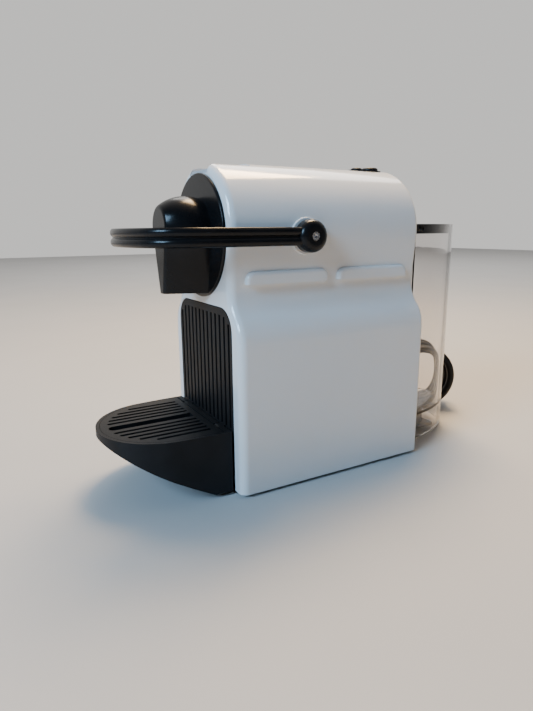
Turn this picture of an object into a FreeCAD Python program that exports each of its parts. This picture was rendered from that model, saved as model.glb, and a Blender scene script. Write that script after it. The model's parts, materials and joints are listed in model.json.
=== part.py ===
import FreeCAD, Part
import math
import os
import re
import Sketcher

Vector = FreeCAD.Vector

# Driving dimensions in millimetres, angles in degrees
SIZES = {
    # Whole machine
    "overall_depth": 321.2, "tray_reach": 81.8, "gap": 0.3, "running": 0.06, "wall": 2.4,
    # Casing
    "shell_depth": 162, "base_half": 58.6, "shell_bottom": 2.5, "shell_top": 227, "shoulder_height": 108,
    "shoulder_radius": 24, "lean": 5, "front_round": 5.5, "rear_round": 3, "cover_inset": 3,
    "vent_height": 8.4, "vent_level": 146.2, "vent_margin": 11.5, "vent_length": 66, "vent_step": 74.2,
    "vent_round": 6, "vent_edge": 2.6, "boss_edge": 0.8,
    "slot_half": 15, "slot_length": 33, "slot_floor": 219,
    # Base plate, feet and screws
    "floor_level": 3, "floor_thick": 3, "plate_front": 5, "tongue_half": 24, "tongue_reach": 54,
    "foot_radius": 8, "foot_half": 42, "foot_front": 22, "foot_rear": 147,
    "screw_radius": 1.7, "screw_cap": 3.2, "screw_low": 1.2, "screw_high": 14,
    # Chassis
    "deck_level": 112, "deck_thick": 3, "deck_half": 54.3, "deck_front": 4, "deck_rear": 150,
    "post_inner": 47.5, "post_outer": 53.5, "post_front": 8.5, "post_rear": 102, "post_half": 3,
    "cheek_inner": 33, "cheek_thick": 2.5, "cheek_front": 6, "cheek_rear": 80, "cheek_top": 196,
    "rail_inner": 19.3, "rail_outer": 21.5, "rail_front": 9, "rail_rear": 75, "rail_drop": 8.8,
    "chute_half": 19, "chute_rear": 42,
    # Brew head
    "disc_height": 177.4, "disc_radius": 42.4, "disc_proud": 2, "disc_round": 1, "spigot_radius": 39.6,
    "channel_radius": 6, "channel_drop": 6,
    "hood_reach": 30.5, "hood_middle": 20, "hood_bottom": 138.8, "hood_round": 3.5, "hood_room": 23,
    "hood_foot": 15, "hood_crown": 23.5, "hood_top": 203, "middle_foot": 8.5, "middle_crown": 20.5,
    "middle_top": 203, "tip_foot": 4, "tip_crown": 13.5, "tip_top": 197.5,
    "nozzle_place": 15, "nozzle_tip": 3.5, "nozzle_root": 4.8, "nozzle_flange": 5.5, "nozzle_bore": 2,
    "nozzle_lift": 5, "nozzle_rim": 4,
    "plate_radius": 24, "plate_back": 8, "bump_pitch": 6, "bump_foot": 2, "bump_tip": 0.8, "bump_rise": 0.5,
    # Capsule carriage
    "cage_radius": 21, "cage_bore": 15.5, "cage_front": 8.6, "cage_length": 35.4, "cage_back": 5.4,
    "cage_trim": 1, "cage_travel": 28, "seal_outer": 19.5, "seal_inner": 16, "seal_thick": 0.5,
    "needle_ring": 7, "needle_tip": 0.2, "needle_root": 1.3, "needle_length": 5.6,
    "door_half": 13.5, "door_top": 221.5, "door_thick": 2.5, "door_front": 1, "door_rear": 36,
    "stem_half": 3, "stem_front": 34, "stem_rear": 40,
    "cam_start": 30.5, "cam_inner": 21.8, "cam_thick": 3, "cam_radius": 36, "cam_hub": 9, "cam_pin": 2.2,
    "cam_play": 0.4, "pin_root": 17,
    # Lever and its pivot
    "pivot_depth": 57.8, "pivot_height": 177, "boss_radius": 12.6, "boss_face": 48.6, "boss_depth": 6,
    "bush_radius": 9.5, "bush_sink": 0.4, "stub_radius": 4, "stub_end": 52,
    "lever_reach": 60.2, "lever_half": 57.5, "lever_width": 8, "lever_height": 12, "lever_bow": 100,
    "lever_corner": 30, "lever_round": 2, "rib_rise": 1.5, "rib_gap": 0.4, "lever_angle": 95,
    "hub_radius": 11, "hub_round": 5, "hub_root": 50, "hub_face": 60,
    "bolt_radius": 2, "bolt_tip": 45, "bolt_seat": 57, "bolt_head": 2.9, "bolt_end": 59.5, "key_floor": 58,
    # Buttons
    "button_small": 4.8, "button_small_depth": 137.7, "button_small_top": 229.5,
    "button_large": 6.8, "button_large_depth": 151.2, "button_large_top": 230, "button_round": 2,
    "bezel_half": 9, "bezel_front": 130.5, "bezel_rear": 160.2, "bezel_proud": 0.8, "bezel_level": 221.5,
    "bezel_sink": 10, "flange_low": 219, "flange_high": 221.2, "flange_rim": 0.7, "plunger_low": 217.2,
    "plunger_radius": 2, "board_level": 211, "board_thick": 1.6, "switch_half": 3, "switch_top": 215.8,
    "leg_half": 4, "leg_thick": 1.2,
    # Front panel, capsule container and drip tray
    "panel_half": 46.7, "panel_top": 130, "panel_corner": 16, "panel_proud": 0, "panel_thick": 4,
    "panel_foot": 4, "panel_rib": 7, "panel_slot": 2.7, "panel_cut": 2.2, "panel_margin": 5,
    "bin_half": 44, "bin_rear": 94, "bin_bottom": 6.6, "bin_top": 104, "bin_wall": 2,
    "tray_top": 47, "tray_bottom": 3, "tray_half": 47.9, "tray_nose": 46.2, "tray_gap": 2, "tray_wall": 2.6,
    "tray_ledge": 2, "tray_back": 4, "hull_flat": 13, "hull_lift": 39, "hull_bow": 600,
    "hinge_drop": 2.3, "hinge_reach": 4, "hinge_pin": 1.5, "hinge_half": 8,
    "lug_place": 30, "lug_half": 3.4, "lug_radius": 2.2, "lug_room": 4,
    "grid_thick": 3, "grid_pitch": 6.3, "grid_slot": 3, "grid_middle": 8, "grid_shift": 3.6, "grid_margin": 8,
    "grid_back": 5,
    # Water tank and dock
    "tank_half": 43, "tank_nose": 28, "tank_bottom": 4, "tank_top": 185, "tank_wall": 2.5, "tank_floor": 24,
    "tank_sole": 2.5, "tank_gap": 1.5, "tank_notch": 34,
    "lid_depth": 7.5, "lid_pivot": 9.5, "lid_axis": 181.3, "lid_play": 0.4, "lid_heel": 3.5, "lid_boss": 6,
    "valve_place": 22, "valve_radius": 8, "valve_flange": 12, "valve_strainer": 10, "valve_top": 42,
    "valve_bore": 5.6, "valve_room": 38, "plunger_head": 5.2, "plunger_seat": 31, "plunger_top": 37,
    "dock_half": 30, "dock_reach": 50, "dock_nose": 22, "dock_start": 5, "dock_top": 20,
    "dock_spout": 5, "dock_tip": 30.7, "dock_bore": 2.5, "dock_sump": 12,
    "ring_radius": 6.05, "ring_thick": 1,
    # Pump, heater and boards
    "pump_depth": 128, "pump_height": 44, "pump_half": 46, "pump_radius": 12,
    "yoke_half": 22, "yoke_deep": 20,
    "mount_inner": 6, "mount_outer": 18, "mount_half": 16, "outlet_place": 40, "outlet_radius": 4,
    "outlet_top": 58, "meter_outer": 48, "meter_inner": 24, "meter_front": 112, "meter_rear": 134,
    "meter_top": 22, "meter_radius": 9, "meter_cap": 6,
    "heater_half": 30, "heater_front": 92, "heater_rear": 134, "heater_top": 165, "heater_inlet": 140,
    "sensor_place": 14, "sensor_radius": 8, "sensor_height": 6,
    "hose_radius": 3, "hose_place": 27, "hose_height": 14, "hose_room": 5.5,
    "card_place": 53, "card_front": 105, "card_rear": 151, "card_low": 60, "card_high": 106,
    # Mains lead
    "cord_radius": 3.5, "cord_exit": -49.5, "cord_height": 13, "relief_length": 26, "relief_radius": 5,
    "relief_flange": 6.5, "relief_root": 2, "relief_wall": 0.7,
    "lead_out": 12, "lead_turn": 75, "lead_step": 12.4, "lead_dip": 1.7, "lead_fall": 3.8, "lead_run": 12,
    "lead_lift": 0.1, "coil_loop": 30, "coil_pitch": 9, "coil_lean": 0.08, "coil_heading": 60,
    "coil_tail": 70, "plug_radius": 17, "plug_place": -80, "plug_rest": 44.5, "plug_heading": 249.5,
    "plug_entry": 4.4, "plug_waist": 8, "plug_neck": 16, "plug_swell": 8, "plug_body": 18,
    "prong_radius": 2.4, "prong_length": 19,
}

doc = FreeCAD.newDocument("PodCoffeeMachine")
sheet = doc.addObject("Spreadsheet::Sheet", "Sizes")
for row, (alias, number) in enumerate(SIZES.items(), 1):
    sheet.set(f"A{row}", alias)
    sheet.set(f"B{row}", str(number))
    sheet.setAlias(f"B{row}", alias)
doc.recompute()

# Places along the depth: the front face and the rear edge of the shell
FRONT = "(tray_reach - overall_depth / 2)"
REAR = f"({FRONT} + shell_depth)"
PIVOT = f"({FRONT} + pivot_depth)"
LINE = None


def cells(text):
    """Expression with the sheet's name before each alias."""
    return re.sub(r"[a-z_]+", lambda word: "Sizes." + word[0] if word[0] in SIZES else word[0], str(text))


def number(text):
    return float(sheet.evalExpression(cells(text)))


def bind(item, **properties):
    for name, text in properties.items():
        item.setExpression(name.replace("__", "."), cells(text))


def behind(depth):
    """Place a given depth behind the front face."""
    return f"({FRONT} + {depth})"


# Primitives and booleans
def place(item, x, y, z):
    bind(item, Placement__Base__x=x, Placement__Base__y=y, Placement__Base__z=z)
    return item


def box(x0, x1, y0, y1, z0, z1, name="Block"):
    item = doc.addObject("Part::Box", name)
    bind(item, Length=f"({x1}) - ({x0})", Width=f"({y1}) - ({y0})", Height=f"({z1}) - ({z0})")
    return place(item, x0, y0, z0)


AXES = {"x": Vector(1, 0, 0), "y": Vector(0, 1, 0), "z": Vector(0, 0, 1)}


def turned(item, axis):
    item.Placement = FreeCAD.Placement(Vector(), FreeCAD.Rotation(Vector(0, 0, 1), AXES[axis]))
    return item


def along(axis, start, first, second):
    """Corner of a round piece: where it starts on its axis, then its other two coordinates."""
    return {"x": (start, first, second), "y": (first, start, second), "z": (first, second, start)}[axis]


def rod(axis, radius, start, end, first, second, name="Rod"):
    item = turned(doc.addObject("Part::Cylinder", name), axis)
    bind(item, Radius=radius, Height=f"({end}) - ({start})")
    return place(item, *along(axis, start, first, second))


def cone(axis, radius_start, radius_end, start, end, first, second, name="Taper"):
    item = turned(doc.addObject("Part::Cone", name), axis)
    bind(item, Radius1=radius_start, Radius2=radius_end, Height=f"({end}) - ({start})")
    return place(item, *along(axis, start, first, second))


def fuse(name, *items):
    item = doc.addObject("Part::MultiFuse", name)
    item.Shapes = list(items)
    return item


def cut(name, base, *tools):
    item = doc.addObject("Part::Cut", name)
    item.Base = base
    item.Tool = tools[0] if len(tools) == 1 else fuse("Tools", *tools)
    return item


def common(name, first, second):
    item = doc.addObject("Part::Common", name)
    item.Base = first
    item.Tool = second
    return item


def group(name, *items):
    """Separate solids of one node."""
    item = doc.addObject("Part::Compound", name)
    item.Links = list(items)
    return item


def rod_sides(radius, start, end, y, z):
    """Two rods along X, mirrored."""
    right = rod("x", radius, start, end, y, z)
    left = rod("x", radius, f"-({end})", f"-({start})", y, z)
    return [right, left]


def box_sides(x0, x1, y0, y1, z0, z1):
    right = box(x0, x1, y0, y1, z0, z1)
    left = box(f"-({x1})", f"-({x0})", y0, y1, z0, z1)
    return [right, left]


# Sketches: an outline is a list of (x, y, segment to the next point)
def arc(radius, side, large=False):
    return (radius, side, large)


def half_circle(side):
    return (None, side, False)


def mirrored(half):
    """Closed outline from its right half; the last point's segment crosses to the left."""
    left = []
    for index in range(len(half) - 1, -1, -1):
        x, y, _ = half[index]
        left.append((f"-({x})", y, half[index - 1][2] if index else LINE))
    return half + left


def new_body(name):
    return doc.addObject("PartDesign::Body", name)


def sketch_on(body, role, level="0"):
    sketch = body.newObject("Sketcher::SketchObject", "Sketch")
    plane = next(item for item in body.Origin.OriginFeatures if item.Role == role)
    sketch.AttachmentSupport = [(plane, "")]
    sketch.MapMode = "FlatFace"
    sign = "-" if role == "XZ_Plane" else ""
    bind(sketch, AttachmentOffset__Base__z=f"{sign}({level})")
    return sketch


def hold(sketch, text, kind, *where):
    """Dimension driven by the sheet."""
    row = sketch.addConstraint(Sketcher.Constraint(kind, *where, number(text)))
    sketch.setExpression(f"Constraints[{row}]", cells(text))


def pin_point(sketch, geometry, end, x, y):
    hold(sketch, x, "DistanceX", geometry, end)
    hold(sketch, y, "DistanceY", geometry, end)


def arc_geometry(start, end, radius, side, large):
    chord = end - start
    half = chord.Length / 2
    normal = Vector(-chord.y, chord.x, 0).normalize()
    reach = math.sqrt(max(radius * radius - half * half, 0))
    towards = (1 if side == "left" else -1) * (-1 if large else 1)
    centre = (start + end) / 2 + normal * (reach * towards)
    first, last = (start, end) if side == "left" else (end, start)
    angles = [math.atan2(p.y - centre.y, p.x - centre.x) for p in (first, last)]
    return Part.ArcOfCircle(Part.Circle(centre, Vector(0, 0, 1), radius), *angles)


def draw(sketch, points, closed):
    """Lines and arcs through the points, each point held by its two coordinates."""
    corners = [Vector(number(x), number(y), 0) for x, y, _ in points]
    count = len(points)
    ends = []
    for index, (x, y, segment) in enumerate(points if closed else points[:-1]):
        start, end = corners[index], corners[(index + 1) % count]
        if segment is LINE:
            geometry = sketch.addGeometry(Part.LineSegment(start, end))
            ends.append((geometry, 1, 2))
        else:
            radius, side, large = segment
            size = number(radius) if radius else (end - start).Length / 2
            geometry = sketch.addGeometry(arc_geometry(start, end, size, side, large))
            ends.append((geometry, 1, 2) if side == "left" else (geometry, 2, 1))
            if radius:
                hold(sketch, radius, "Radius", geometry)
            elif abs(start.y - end.y) < abs(start.x - end.x):
                hold(sketch, y, "DistanceY", geometry, 3)
            else:
                hold(sketch, x, "DistanceX", geometry, 3)
        pin_point(sketch, geometry, ends[-1][1], x, y)
    for here, after in zip(ends, ends[1:] + ends[:1] if closed else ends[1:]):
        sketch.addConstraint(Sketcher.Constraint("Coincident", here[0], here[2], after[0], after[1]))
    if not closed:
        pin_point(sketch, ends[-1][0], ends[-1][2], points[-1][0], points[-1][1])
    return sketch


def outline(sketch, points):
    return draw(sketch, points, True)


def circle(sketch, radius, x, y):
    centre = Vector(number(x), number(y), 0)
    geometry = sketch.addGeometry(Part.Circle(centre, Vector(0, 0, 1), number(radius)))
    hold(sketch, radius, "Radius", geometry)
    pin_point(sketch, geometry, 3, x, y)
    return sketch


def rectangle(sketch, x0, x1, y0, y1):
    return outline(sketch, [(x0, y0, LINE), (x1, y0, LINE), (x1, y1, LINE), (x0, y1, LINE)])


def pad(body, sketch, length, backwards=False):
    feature = body.newObject("PartDesign::Pad", "Pad")
    feature.Profile = sketch
    feature.Reversed = backwards
    bind(feature, Length=length)
    return feature


def pocket(body, sketch, length, backwards=False):
    doc.recompute()
    before = body.Shape.Volume
    feature = body.newObject("PartDesign::Pocket", "Pocket")
    feature.Profile = sketch
    feature.Reversed = backwards
    bind(feature, Length=length)
    doc.recompute()
    if body.Shape.Volume >= before:
        raise ValueError(f"{body.Label}: a pocket cuts nothing")
    return feature


def round_edges(body, radius, chosen):
    """Fillet the edges of the body's tip that pass the test."""
    doc.recompute()
    base = body.Tip
    names = [f"Edge{i}" for i, edge in enumerate(base.Shape.Edges, 1) if chosen(edge)]
    feature = body.newObject("PartDesign::Fillet", "Fillet")
    feature.Base = (base, names)
    bind(feature, Radius=radius)
    return feature


def in_plane(edge, axis, value, tolerance=0.01):
    low = getattr(edge.BoundBox, axis + "Min")
    high = getattr(edge.BoundBox, axis + "Max")
    return abs(low - value) < tolerance and abs(high - value) < tolerance


nodes = []


def node(item, name):
    item.Label = name
    nodes.append(item)
    return item


# Cross-section of the shell: flared base, S-shaped shoulder, round head, all tangent
KNEE_X = "(base_half - shoulder_radius)"
WAIST_X = f"({KNEE_X} + 2 * shoulder_radius * cos(45))"
WAIST_Z = "(shoulder_height + 2 * shoulder_radius * sin(45))"
NECK_X = f"({WAIST_X} - shoulder_radius * cos(lean))"
NECK_Z = f"({WAIST_Z} + shoulder_radius * sin(lean))"
HEAD = f"(({NECK_X} * cos(lean) + (shell_top - {NECK_Z}) * sin(lean)) / (1 + sin(lean)))"
HEAD_Z = f"(shell_top - {HEAD})"


def shell_outline(inset, bottom):
    inner_knee = f"(shoulder_radius - ({inset}))"
    outer_waist = f"(shoulder_radius + ({inset}))"
    head = f"({HEAD} - ({inset}))"
    return mirrored([
        (f"base_half - ({inset})", bottom, LINE),
        (f"base_half - ({inset})", "shoulder_height", arc(inner_knee, "left")),
        (f"{KNEE_X} + {inner_knee} * cos(45)", f"shoulder_height + {inner_knee} * sin(45)",
         arc(outer_waist, "right")),
        (f"{WAIST_X} - {outer_waist} * cos(lean)", f"{WAIST_Z} + {outer_waist} * sin(lean)", LINE),
        (f"{head} * cos(lean)", f"{HEAD_Z} - {head} * sin(lean)", arc(head, "left", True)),
    ])


def panel_outline(inset, bottom):
    """Front panel and its opening: square feet, rounded upper corners."""
    half = f"(panel_half - ({inset}))"
    top = f"(panel_top - ({inset}))"
    corner = f"(panel_corner - ({inset}))"
    return mirrored([
        (half, bottom, LINE),
        (half, f"{top} - {corner}", arc(corner, "left")),
        (f"{half} - {corner}", top, LINE),
    ])


def bow(half, reach, nose, base, towards):
    """Half-oval in plan from a straight base: two side arcs and a nose, tangent; towards is + or -."""
    half, reach, nose = f"({half})", f"({reach})", f"({nose})"
    side = f"(({half}^2 + ({reach} - {nose})^2 - {nose}^2) / (2 * ({half} - {nose})))"
    join_x = f"({nose} * ({side} - {half}) / ({side} - {nose}))"
    join_y = f"(({reach} - {nose}) * {side} / ({side} - {nose}))"
    turn = "left" if towards == "+" else "right"
    return mirrored([
        (half, base, arc(side, turn)),
        (join_x, f"{base} {towards} {join_y}", arc(nose, turn)),
    ])


def casing():
    body = new_body("casing")
    pad(body, outline(sketch_on(body, "XZ_Plane", FRONT), shell_outline("0", "shell_bottom")),
        "shell_depth", True)
    front, rear, bottom = number(FRONT), number(REAR), number("shell_bottom")
    round_edges(body, "front_round", lambda e: in_plane(e, "Y", front) and not in_plane(e, "Z", bottom))
    round_edges(body, "rear_round", lambda e: in_plane(e, "Y", rear) and not in_plane(e, "Z", bottom))
    # Vent hoods and pivot bosses on both sides, flat underneath and rounded above
    for sign, backwards in (("", False), ("-", True)):
        level = f"{sign}(boss_face - boss_depth)"
        for start in ("vent_margin", "vent_margin + vent_step"):
            low, high = behind(start), behind(f"{start} + vent_length")
            corner = "vent_round"
            top = "(vent_level + vent_height)"
            hood = outline(sketch_on(body, "YZ_Plane", level), [
                (low, "vent_level", LINE),
                (high, "vent_level", LINE),
                (high, f"{top} - {corner}", arc(corner, "left")),
                (f"{high} - {corner}", top, LINE),
                (f"{low} + {corner}", top, arc(corner, "left")),
                (low, f"{top} - {corner}", LINE),
            ])
            pad(body, hood, "boss_depth", backwards)
        boss = circle(sketch_on(body, "YZ_Plane", level), "boss_radius", PIVOT, "pivot_height")
        pad(body, boss, "boss_depth", backwards)
    outer, lip = number("boss_face"), number("vent_level")
    between = number("(vent_level + vent_height + pivot_height - boss_radius) / 2")

    def raised(edge):
        return in_plane(edge, "X", outer) or in_plane(edge, "X", -outer)

    round_edges(body, "vent_edge", lambda e: raised(e) and e.BoundBox.ZMax < between and not in_plane(e, "Z", lip))
    round_edges(body, "boss_edge", lambda e: raised(e) and e.BoundBox.ZMin > between)
    inside = outline(sketch_on(body, "XZ_Plane", REAR), shell_outline("wall", "0"))
    pocket(body, inside, "shell_depth - wall", True)
    holes = circle(sketch_on(body, "YZ_Plane", "base_half"), "bush_radius", PIVOT, "pivot_height")
    pocket(body, holes, "2 * base_half")
    # Openings in the front wall: brew head and front panel
    mouth = circle(sketch_on(body, "XZ_Plane", FRONT), "spigot_radius + gap", "0", "disc_height")
    pocket(body, mouth, "wall")
    doorway = outline(sketch_on(body, "XZ_Plane", FRONT), panel_outline("-0.5", "0"))
    pocket(body, doorway, "wall")
    # Capsule slot and button slot in the top
    slot = rectangle(sketch_on(body, "XY_Plane", "shell_top"), "-slot_half", "slot_half",
                     f"{FRONT} - 1", behind("slot_length"))
    pocket(body, slot, "shell_top - slot_floor")
    pocket(body, outline(sketch_on(body, "XY_Plane", "shell_top"), bezel_outline("-gap")), "bezel_sink")
    return node(body, "casing")


def bezel_outline(inset):
    half = f"(bezel_half - ({inset}))"
    front = behind("bezel_front + bezel_half")
    rear = behind("bezel_rear - bezel_half")
    return [(half, front, LINE), (half, rear, half_circle("left")),
            (f"-({half})", rear, LINE), (f"-({half})", front, half_circle("left"))]


def rear_cover():
    body = new_body("rear_cover")
    start = f"({REAR} - cover_inset)"
    sheet_outline = shell_outline("wall + gap", f"{FLOOR_TOP} + gap")
    pad(body, outline(sketch_on(body, "XZ_Plane", start), sheet_outline), "wall", True)
    hole = circle(sketch_on(body, "XZ_Plane", start), "relief_radius", "cord_exit", "cord_height")
    circle(hole, "hose_radius + gap", "-hose_place", "hose_height")
    rectangle(hole, "-bezel_half - gap", "bezel_half + gap", "board_level - gap", "shell_top")
    pocket(body, hole, "wall")
    return node(body, "rear_cover")


FOOT_PLACES = [behind("foot_front"), behind("foot_rear")]
POST_PLACES = [behind("post_front"), behind("post_rear")]
POST = "((post_inner + post_outer) / 2)"
FLOOR_TOP = "(floor_level + floor_thick)"


def base():
    half, rear = "(base_half - wall - gap)", f"({REAR} - gap)"
    plate = box(f"-{half}", half, behind("plate_front"), rear, "floor_level", FLOOR_TOP)
    tongue = box("-tongue_half", "tongue_half", rear, f"{REAR} + tongue_reach", "floor_level", FLOOR_TOP)
    holes, screws, feet = [], [], []
    for y in POST_PLACES:
        for x in (POST, f"-{POST}"):
            holes.append(rod("z", "screw_radius", "floor_level", FLOOR_TOP, x, y))
            shank = rod("z", "screw_radius", "floor_level", "screw_high", x, y)
            head = rod("z", "screw_cap", "screw_low", "floor_level", x, y)
            screws.append(fuse("Screw", shank, head))
    for y in FOOT_PLACES:
        for x in ("foot_half", "-foot_half"):
            feet.append(cone("z", "foot_radius - 1", "foot_radius", "0", "floor_level", x, y))
    node(cut("base_plate", fuse("Plate", plate, tongue), *holes), "base_plate")
    node(group("base_screws", *screws), "base_screws")
    node(group("feet", *feet), "feet")


def chassis():
    deck_top = "(deck_level + deck_thick)"
    deck = box("-deck_half", "deck_half", behind("deck_front"), behind("deck_rear"), "deck_level", deck_top)
    posts = []
    for y in POST_PLACES:
        posts += box_sides("post_inner", "post_outer", f"{y} - post_half", f"{y} + post_half", FLOOR_TOP,
                           "deck_level")
    cheek_outer = "(cheek_inner + cheek_thick)"
    cheeks = box_sides("cheek_inner", cheek_outer, behind("cheek_front"), behind("cheek_rear"), deck_top,
                       "cheek_top")
    rails = box_sides("rail_inner", "rail_outer", behind("rail_front"), behind("rail_rear"), deck_top,
                      "disc_height - rail_drop")
    chute = box("-chute_half", "chute_half", behind("rail_front"), behind("chute_rear"), "deck_level",
                deck_top)
    hose = rod("z", "hose_room", "deck_level", deck_top, "outlet_place", behind("pump_depth"))
    shafts = rod_sides("stub_radius + running", "cheek_inner", cheek_outer, PIVOT, "pivot_height")
    threads = [rod("z", "screw_radius", FLOOR_TOP, "screw_high", x, y)
               for y in POST_PLACES for x in (POST, f"-{POST}")]
    solid = fuse("Frame", deck, *posts, *cheeks, *rails)
    node(cut("chassis", solid, chute, hose, *shafts, *threads), "chassis")


def brew_head():
    face = f"({FRONT} - disc_proud)"
    back = behind("wall")
    disc = new_body("Disc")
    rim = circle(sketch_on(disc, "XZ_Plane", face), "disc_radius", "0", "disc_height")
    pad(disc, rim, "disc_proud", True)
    round_edges(disc, "disc_round", lambda e: in_plane(e, "Y", number(face)))
    spigot = rod("y", "spigot_radius", FRONT, back, "0", "disc_height")
    channel = rod("y", "channel_radius", face, back, "0", "disc_height - channel_drop")
    node(cut("head_disc", fuse("Cover", disc, spigot), channel), "head_disc")

    # Hood: straight flanks that run tangent into a round crown, narrower and lower towards its tip
    hood = new_body("Hood")
    levels = [(face, "hood"), (f"({FRONT} - hood_middle)", "middle"), (f"({FRONT} - hood_reach)", "tip")]
    sections = []
    for y, which in levels:
        foot, crown = f"{which}_foot", f"{which}_crown"
        centre = f"({which}_top - {crown})"
        drop = f"({centre} - hood_bottom)"
        square = f"({foot}^2 + {drop}^2)"
        flank = f"sqrt({square} - {crown}^2)"
        touch_x = f"({crown} * ({crown} * {foot} + {flank} * {drop}) / {square})"
        touch_z = f"({centre} + {crown} * ({flank} * {foot} - {crown} * {drop}) / {square})"
        sections.append(outline(sketch_on(hood, "XZ_Plane", y), mirrored([
            (foot, "hood_bottom", LINE), (touch_x, touch_z, arc(crown, "left", True))])))
    doc.recompute()
    loft = hood.newObject("PartDesign::AdditiveLoft", "Loft")
    loft.Profile = sections[0]
    loft.Sections = sections[1:]
    tip, sole = number(f"{FRONT} - hood_reach"), number("hood_bottom")
    round_edges(hood, "hood_round", lambda e: in_plane(e, "Y", tip) and not in_plane(e, "Z", sole))
    ceiling, middle, room = "(hood_bottom + hood_room)", f"({FRONT} - nozzle_place)", "(nozzle_flange + gap)"
    cavity = box(f"-{room}", room, f"{middle} - {room}", f"{middle} + {room}", "hood_bottom - 1", ceiling)
    node(cut("outlet_hood", hood, cavity), "outlet_hood")

    low, shelf = "(hood_bottom + nozzle_lift)", f"({ceiling} - nozzle_rim)"
    spout = fuse("Spout", cone("z", "nozzle_tip", "nozzle_root", low, shelf, "0", middle),
                 rod("z", "nozzle_flange", shelf, ceiling, "0", middle))
    node(cut("outlet_nozzle", spout, rod("z", "nozzle_bore", low, ceiling, "0", middle)), "outlet_nozzle")

    plate = rod("y", "plate_radius", back, behind("plate_back"), "0", "disc_height")
    bumps = [cone("y", "bump_foot", "bump_tip", behind("plate_back"), behind("plate_back + bump_rise"),
                  f"{i} * bump_pitch", f"disc_height + {k} * bump_pitch")
             for i in (-1, 0, 1) for k in (-1, 0, 1)]
    node(fuse("brew_plate", plate, *bumps), "brew_plate")


def carriage():
    front = behind("cage_front")
    rear = behind("cage_front + cage_length")
    cup = rod("y", "cage_radius", front, rear, "0", "disc_height")
    bore = rod("y", "cage_bore", front, f"{rear} - cage_back", "0", "disc_height")
    flat = "(disc_height + cage_radius - cage_trim)"
    crown = box("-cage_radius", "cage_radius", front, rear, flat, f"{flat} + 2 * cage_trim")
    pin_y = f"({PIVOT} - cam_start)"
    sockets = rod_sides("cam_pin", "pin_root", "cage_radius", pin_y, "pivot_height")
    node(cut("capsule_cage", cup, bore, crown, *sockets), "capsule_cage")
    pins = rod_sides("cam_pin", "pin_root", "cam_inner + cam_thick - cam_play", pin_y, "pivot_height")
    node(group("cage_pins", *pins), "cage_pins")
    lip = f"({front} - seal_thick)"
    ring = cut("cage_seal", rod("y", "seal_outer", lip, front, "0", "disc_height"),
               rod("y", "seal_inner", lip, front, "0", "disc_height"))
    node(ring, "cage_seal")
    needles = []
    for angle in (90, 210, 330):
        x, z = f"needle_ring * cos({angle})", f"disc_height + needle_ring * sin({angle})"
        root = f"({rear} - cage_back)"
        needles.append(cone("y", "needle_tip", "needle_root", f"{root} - needle_length", root, x, z))
    node(group("cage_needles", *needles), "cage_needles")
    under = "(door_top - door_thick)"
    leaf = box("-door_half", "door_half", behind("door_front"), behind("door_rear"), under, "door_top")
    stem = box("-stem_half", "stem_half", behind("stem_front"), behind("stem_rear"), flat, under)
    node(fuse("capsule_door", leaf, stem), "capsule_door")


def cam_shape(side):
    """Cam plate with a spiral slot: the pin moves the same way for each degree of the lever."""
    pivot = Vector(0, number(PIVOT), number("pivot_height"))
    start, travel = number("cam_start"), number("cage_travel")
    span = math.radians(number("lever_angle"))
    half_width = number("cam_pin + cam_play")
    inner = number("cam_inner") * side
    thick = Vector(number("cam_thick") * side, 0, 0)
    edges = ([], [])
    steps = 12
    for step in range(steps + 1):
        angle = span * step / steps
        radius = start - travel * step / steps
        out = Vector(0, -math.cos(angle), -math.sin(angle))
        across = Vector(0, math.sin(angle), -math.cos(angle))
        heading = (across * radius - out * (travel / span)).normalize()
        offset = heading.cross(Vector(1, 0, 0)) * half_width
        spot = pivot + out * radius + Vector(inner, 0, 0)
        edges[0].append(spot + offset)
        edges[1].append(spot - offset)
        if step in (0, steps):
            tip = spot + heading * (half_width if step else -half_width)
            edges[0].append(tip)
    first_tip, last_tip = edges[0][1], edges[0][-1]
    upper = [edges[0][0]] + edges[0][2:-1]
    lower = edges[1]
    curves = []
    for points in (upper, lower):
        spline = Part.BSplineCurve()
        spline.interpolate(points)
        curves.append(spline.toShape())
    caps = [Part.Arc(upper[-1], last_tip, lower[-1]).toShape(),
            Part.Arc(lower[0], first_tip, upper[0]).toShape()]
    slot = Part.Face(Part.Wire([curves[0], caps[0], curves[1], caps[1]])).extrude(thick)
    radius, hub = number("cam_radius"), number("cam_hub")
    axis = Vector(side, 0, 0)
    foot = pivot + Vector(inner, 0, 0)
    disc = Part.makeCylinder(radius, thick.Length, foot, axis)
    sector = Part.makeBox(thick.Length, radius + hub, radius + hub,
                          Vector(min(inner, inner + thick.x), pivot.y - radius, pivot.z - radius))
    return disc.common(sector).cut(slot)


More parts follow.
